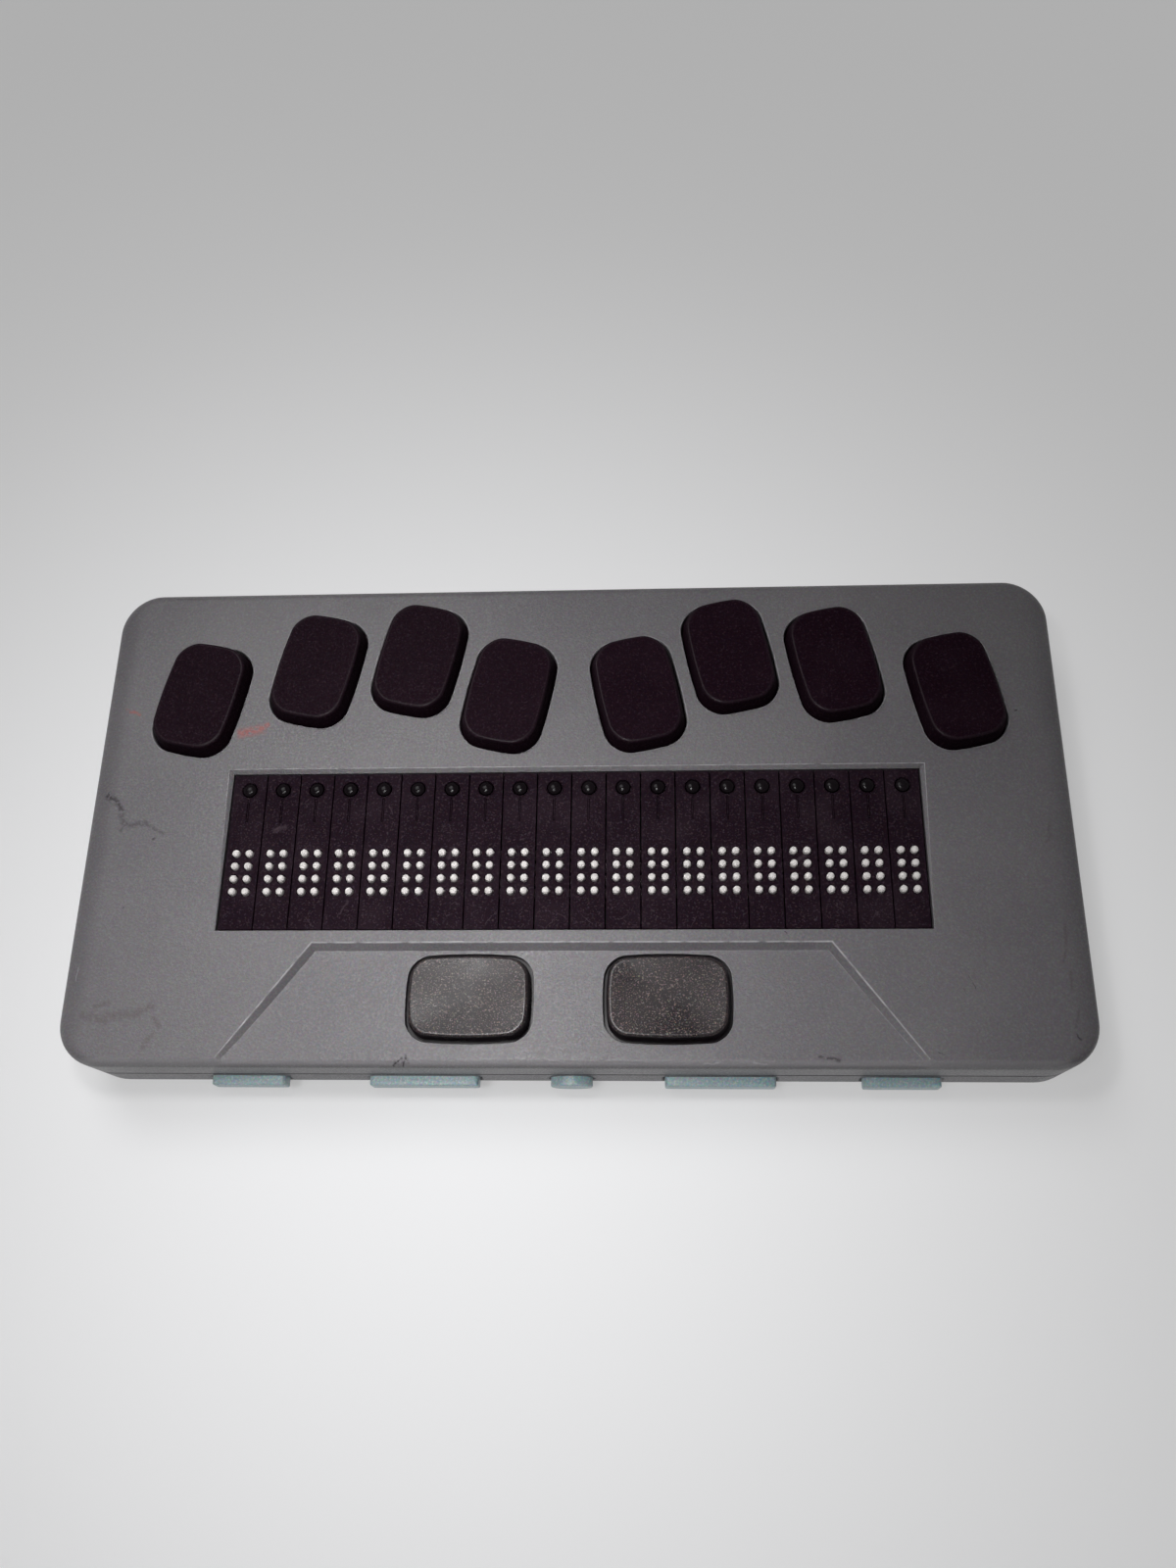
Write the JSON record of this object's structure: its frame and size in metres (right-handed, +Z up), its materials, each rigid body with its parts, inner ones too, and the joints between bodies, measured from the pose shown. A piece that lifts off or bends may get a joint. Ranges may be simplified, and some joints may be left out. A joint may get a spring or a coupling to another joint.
{
  "type": "refreshable braille display",
  "caption": "Hand-held refreshable braille display: braille line with cursor routing buttons, braille-entry keys, space keys and front thumb keys in a flat moulded case.",
  "frame": {"origin": "on the table under the middle of the whole object", "axes": "+X to the right along the braille line, +Y away from the user, +Z up"},
  "size_m": [0.183, 0.0958, 0.0227],
  "materials": {
    "case_grey": "fine-grained moulded grey plastic, rubbed at the edges",
    "base_grey": "fine-grained moulded grey plastic",
    "key_black": "fine satin grain",
    "cell_black": "fine matt grain",
    "dot_white": "smooth, slightly glossy",
    "router_black": "glossy",
    "thumb_teal": "fine satin grain",
    "board_green": "solder mask",
    "battery_wrap": "shrink wrap",
    "foot_rubber": "matt",
    "steel": "plated",
    "light_pipe": "translucent"
  },
  "bodies": {
    "case": {"top_case": "case_grey", "bottom_case": "base_grey", "battery_cover": "base_grey", "battery_pack": "battery_wrap", "main_board": "board_green", "cell_cap_strip": "cell_black", "cell_backplane": "board_green", "cover_screw_left": "steel", "cover_screw_right": "steel", "usb_c_socket": "steel", "usb_a_socket": "steel", "audio_jack": "key_black", "card_socket": "steel", "status_light": "light_pipe", "foot_front_left": "foot_rubber", "foot_rear_left": "foot_rubber", "foot_front_right": "foot_rubber", "foot_rear_right": "foot_rubber"},
    "dot_1_key": {"dot_1_key": "key_black"},
    "dot_2_key": {"dot_2_key": "key_black"},
    "dot_3_key": {"dot_3_key": "key_black"},
    "dot_4_key": {"dot_4_key": "key_black"},
    "dot_5_key": {"dot_5_key": "key_black"},
    "dot_6_key": {"dot_6_key": "key_black"},
    "dot_7_key": {"dot_7_key": "key_black"},
    "dot_8_key": {"dot_8_key": "key_black"},
    "space_left_key": {"space_left_key": "key_black"},
    "space_right_key": {"space_right_key": "key_black"},
    "thumb_previous_key": {"thumb_previous_key": "thumb_teal"},
    "thumb_left_key": {"thumb_left_key": "thumb_teal"},
    "thumb_home_key": {"thumb_home_key": "thumb_teal"},
    "thumb_right_key": {"thumb_right_key": "thumb_teal"},
    "thumb_next_key": {"thumb_next_key": "thumb_teal"},
    "dots_1_4_row": {"dots_1_4_row": "dot_white"},
    "dots_2_5_row": {"dots_2_5_row": "dot_white"},
    "dots_3_6_row": {"dots_3_6_row": "dot_white"},
    "dots_7_8_row": {"dots_7_8_row": "dot_white"},
    "routing_button_01": {"routing_button_01": "router_black"},
    "routing_button_02": {"routing_button_02": "router_black"},
    "routing_button_03": {"routing_button_03": "router_black"},
    "routing_button_04": {"routing_button_04": "router_black"},
    "routing_button_05": {"routing_button_05": "router_black"},
    "routing_button_06": {"routing_button_06": "router_black"},
    "routing_button_07": {"routing_button_07": "router_black"},
    "routing_button_08": {"routing_button_08": "router_black"},
    "routing_button_09": {"routing_button_09": "router_black"},
    "routing_button_10": {"routing_button_10": "router_black"},
    "routing_button_11": {"routing_button_11": "router_black"},
    "routing_button_12": {"routing_button_12": "router_black"},
    "routing_button_13": {"routing_button_13": "router_black"},
    "routing_button_14": {"routing_button_14": "router_black"},
    "routing_button_15": {"routing_button_15": "router_black"},
    "routing_button_16": {"routing_button_16": "router_black"},
    "routing_button_17": {"routing_button_17": "router_black"},
    "routing_button_18": {"routing_button_18": "router_black"},
    "routing_button_19": {"routing_button_19": "router_black"},
    "routing_button_20": {"routing_button_20": "router_black"},
    "power_button": {"power_button": "key_black"},
    "volume_up_button": {"volume_up_button": "key_black"},
    "volume_down_button": {"volume_down_button": "key_black"}
  },
  "joints": [
    {"name": "dot_1_press", "type": "slide", "parent": "case", "child": "dot_1_key", "axis": [0, 0, -1], "range_m": [0, 0.0018], "stiffness_N_per_m": 300},
    {"name": "dot_2_press", "type": "slide", "parent": "case", "child": "dot_2_key", "axis": [0, 0, -1], "range_m": [0, 0.0018], "stiffness_N_per_m": 300},
    {"name": "dot_3_press", "type": "slide", "parent": "case", "child": "dot_3_key", "axis": [0, 0, -1], "range_m": [0, 0.0018], "stiffness_N_per_m": 300},
    {"name": "dot_4_press", "type": "slide", "parent": "case", "child": "dot_4_key", "axis": [0, 0, -1], "range_m": [0, 0.0018], "stiffness_N_per_m": 300},
    {"name": "dot_5_press", "type": "slide", "parent": "case", "child": "dot_5_key", "axis": [0, 0, -1], "range_m": [0, 0.0018], "stiffness_N_per_m": 300},
    {"name": "dot_6_press", "type": "slide", "parent": "case", "child": "dot_6_key", "axis": [0, 0, -1], "range_m": [0, 0.0018], "stiffness_N_per_m": 300},
    {"name": "dot_7_press", "type": "slide", "parent": "case", "child": "dot_7_key", "axis": [0, 0, -1], "range_m": [0, 0.0018], "stiffness_N_per_m": 300},
    {"name": "dot_8_press", "type": "slide", "parent": "case", "child": "dot_8_key", "axis": [0, 0, -1], "range_m": [0, 0.0018], "stiffness_N_per_m": 300},
    {"name": "space_left_press", "type": "slide", "parent": "case", "child": "space_left_key", "axis": [0, 0, -1], "range_m": [0, 0.0018], "stiffness_N_per_m": 300},
    {"name": "space_right_press", "type": "slide", "parent": "case", "child": "space_right_key", "axis": [0, 0, -1], "range_m": [0, 0.0018], "stiffness_N_per_m": 300},
    {"name": "thumb_previous_press", "type": "slide", "parent": "case", "child": "thumb_previous_key", "axis": [0, 1, 0], "range_m": [0, 0.001], "stiffness_N_per_m": 500},
    {"name": "thumb_left_press", "type": "slide", "parent": "case", "child": "thumb_left_key", "axis": [0, 1, 0], "range_m": [0, 0.001], "stiffness_N_per_m": 500},
    {"name": "thumb_home_press", "type": "slide", "parent": "case", "child": "thumb_home_key", "axis": [0, 1, 0], "range_m": [0, 0.001], "stiffness_N_per_m": 500},
    {"name": "thumb_right_press", "type": "slide", "parent": "case", "child": "thumb_right_key", "axis": [0, 1, 0], "range_m": [0, 0.001], "stiffness_N_per_m": 500},
    {"name": "thumb_next_press", "type": "slide", "parent": "case", "child": "thumb_next_key", "axis": [0, 1, 0], "range_m": [0, 0.001], "stiffness_N_per_m": 500},
    {"name": "dots_1_4_lower", "type": "slide", "parent": "case", "child": "dots_1_4_row", "axis": [0, 0, -1], "range_m": [0, 0.0007], "stiffness_N_per_m": 2000},
    {"name": "dots_2_5_lower", "type": "slide", "parent": "case", "child": "dots_2_5_row", "axis": [0, 0, -1], "range_m": [0, 0.0007], "stiffness_N_per_m": 2000},
    {"name": "dots_3_6_lower", "type": "slide", "parent": "case", "child": "dots_3_6_row", "axis": [0, 0, -1], "range_m": [0, 0.0007], "stiffness_N_per_m": 2000},
    {"name": "dots_7_8_lower", "type": "slide", "parent": "case", "child": "dots_7_8_row", "axis": [0, 0, -1], "range_m": [0, 0.0007], "stiffness_N_per_m": 2000},
    {"name": "routing_01_press", "type": "slide", "parent": "case", "child": "routing_button_01", "axis": [0, 0, -1], "range_m": [0, 0.0006], "stiffness_N_per_m": 600},
    {"name": "routing_02_press", "type": "slide", "parent": "case", "child": "routing_button_02", "axis": [0, 0, -1], "range_m": [0, 0.0006], "stiffness_N_per_m": 600},
    {"name": "routing_03_press", "type": "slide", "parent": "case", "child": "routing_button_03", "axis": [0, 0, -1], "range_m": [0, 0.0006], "stiffness_N_per_m": 600},
    {"name": "routing_04_press", "type": "slide", "parent": "case", "child": "routing_button_04", "axis": [0, 0, -1], "range_m": [0, 0.0006], "stiffness_N_per_m": 600},
    {"name": "routing_05_press", "type": "slide", "parent": "case", "child": "routing_button_05", "axis": [0, 0, -1], "range_m": [0, 0.0006], "stiffness_N_per_m": 600},
    {"name": "routing_06_press", "type": "slide", "parent": "case", "child": "routing_button_06", "axis": [0, 0, -1], "range_m": [0, 0.0006], "stiffness_N_per_m": 600},
    {"name": "routing_07_press", "type": "slide", "parent": "case", "child": "routing_button_07", "axis": [0, 0, -1], "range_m": [0, 0.0006], "stiffness_N_per_m": 600},
    {"name": "routing_08_press", "type": "slide", "parent": "case", "child": "routing_button_08", "axis": [0, 0, -1], "range_m": [0, 0.0006], "stiffness_N_per_m": 600},
    {"name": "routing_09_press", "type": "slide", "parent": "case", "child": "routing_button_09", "axis": [0, 0, -1], "range_m": [0, 0.0006], "stiffness_N_per_m": 600},
    {"name": "routing_10_press", "type": "slide", "parent": "case", "child": "routing_button_10", "axis": [0, 0, -1], "range_m": [0, 0.0006], "stiffness_N_per_m": 600},
    {"name": "routing_11_press", "type": "slide", "parent": "case", "child": "routing_button_11", "axis": [0, 0, -1], "range_m": [0, 0.0006], "stiffness_N_per_m": 600},
    {"name": "routing_12_press", "type": "slide", "parent": "case", "child": "routing_button_12", "axis": [0, 0, -1], "range_m": [0, 0.0006], "stiffness_N_per_m": 600},
    {"name": "routing_13_press", "type": "slide", "parent": "case", "child": "routing_button_13", "axis": [0, 0, -1], "range_m": [0, 0.0006], "stiffness_N_per_m": 600},
    {"name": "routing_14_press", "type": "slide", "parent": "case", "child": "routing_button_14", "axis": [0, 0, -1], "range_m": [0, 0.0006], "stiffness_N_per_m": 600},
    {"name": "routing_15_press", "type": "slide", "parent": "case", "child": "routing_button_15", "axis": [0, 0, -1], "range_m": [0, 0.0006], "stiffness_N_per_m": 600},
    {"name": "routing_16_press", "type": "slide", "parent": "case", "child": "routing_button_16", "axis": [0, 0, -1], "range_m": [0, 0.0006], "stiffness_N_per_m": 600},
    {"name": "routing_17_press", "type": "slide", "parent": "case", "child": "routing_button_17", "axis": [0, 0, -1], "range_m": [0, 0.0006], "stiffness_N_per_m": 600},
    {"name": "routing_18_press", "type": "slide", "parent": "case", "child": "routing_button_18", "axis": [0, 0, -1], "range_m": [0, 0.0006], "stiffness_N_per_m": 600},
    {"name": "routing_19_press", "type": "slide", "parent": "case", "child": "routing_button_19", "axis": [0, 0, -1], "range_m": [0, 0.0006], "stiffness_N_per_m": 600},
    {"name": "routing_20_press", "type": "slide", "parent": "case", "child": "routing_button_20", "axis": [0, 0, -1], "range_m": [0, 0.0006], "stiffness_N_per_m": 600},
    {"name": "power_press", "type": "slide", "parent": "case", "child": "power_button", "axis": [1, 0, 0], "range_m": [0, 0.0006], "stiffness_N_per_m": 800},
    {"name": "volume_up_press", "type": "slide", "parent": "case", "child": "volume_up_button", "axis": [-1, 0, 0], "range_m": [0, 0.0006], "stiffness_N_per_m": 800},
    {"name": "volume_down_press", "type": "slide", "parent": "case", "child": "volume_down_button", "axis": [-1, 0, 0], "range_m": [0, 0.0006], "stiffness_N_per_m": 800}
  ]
}
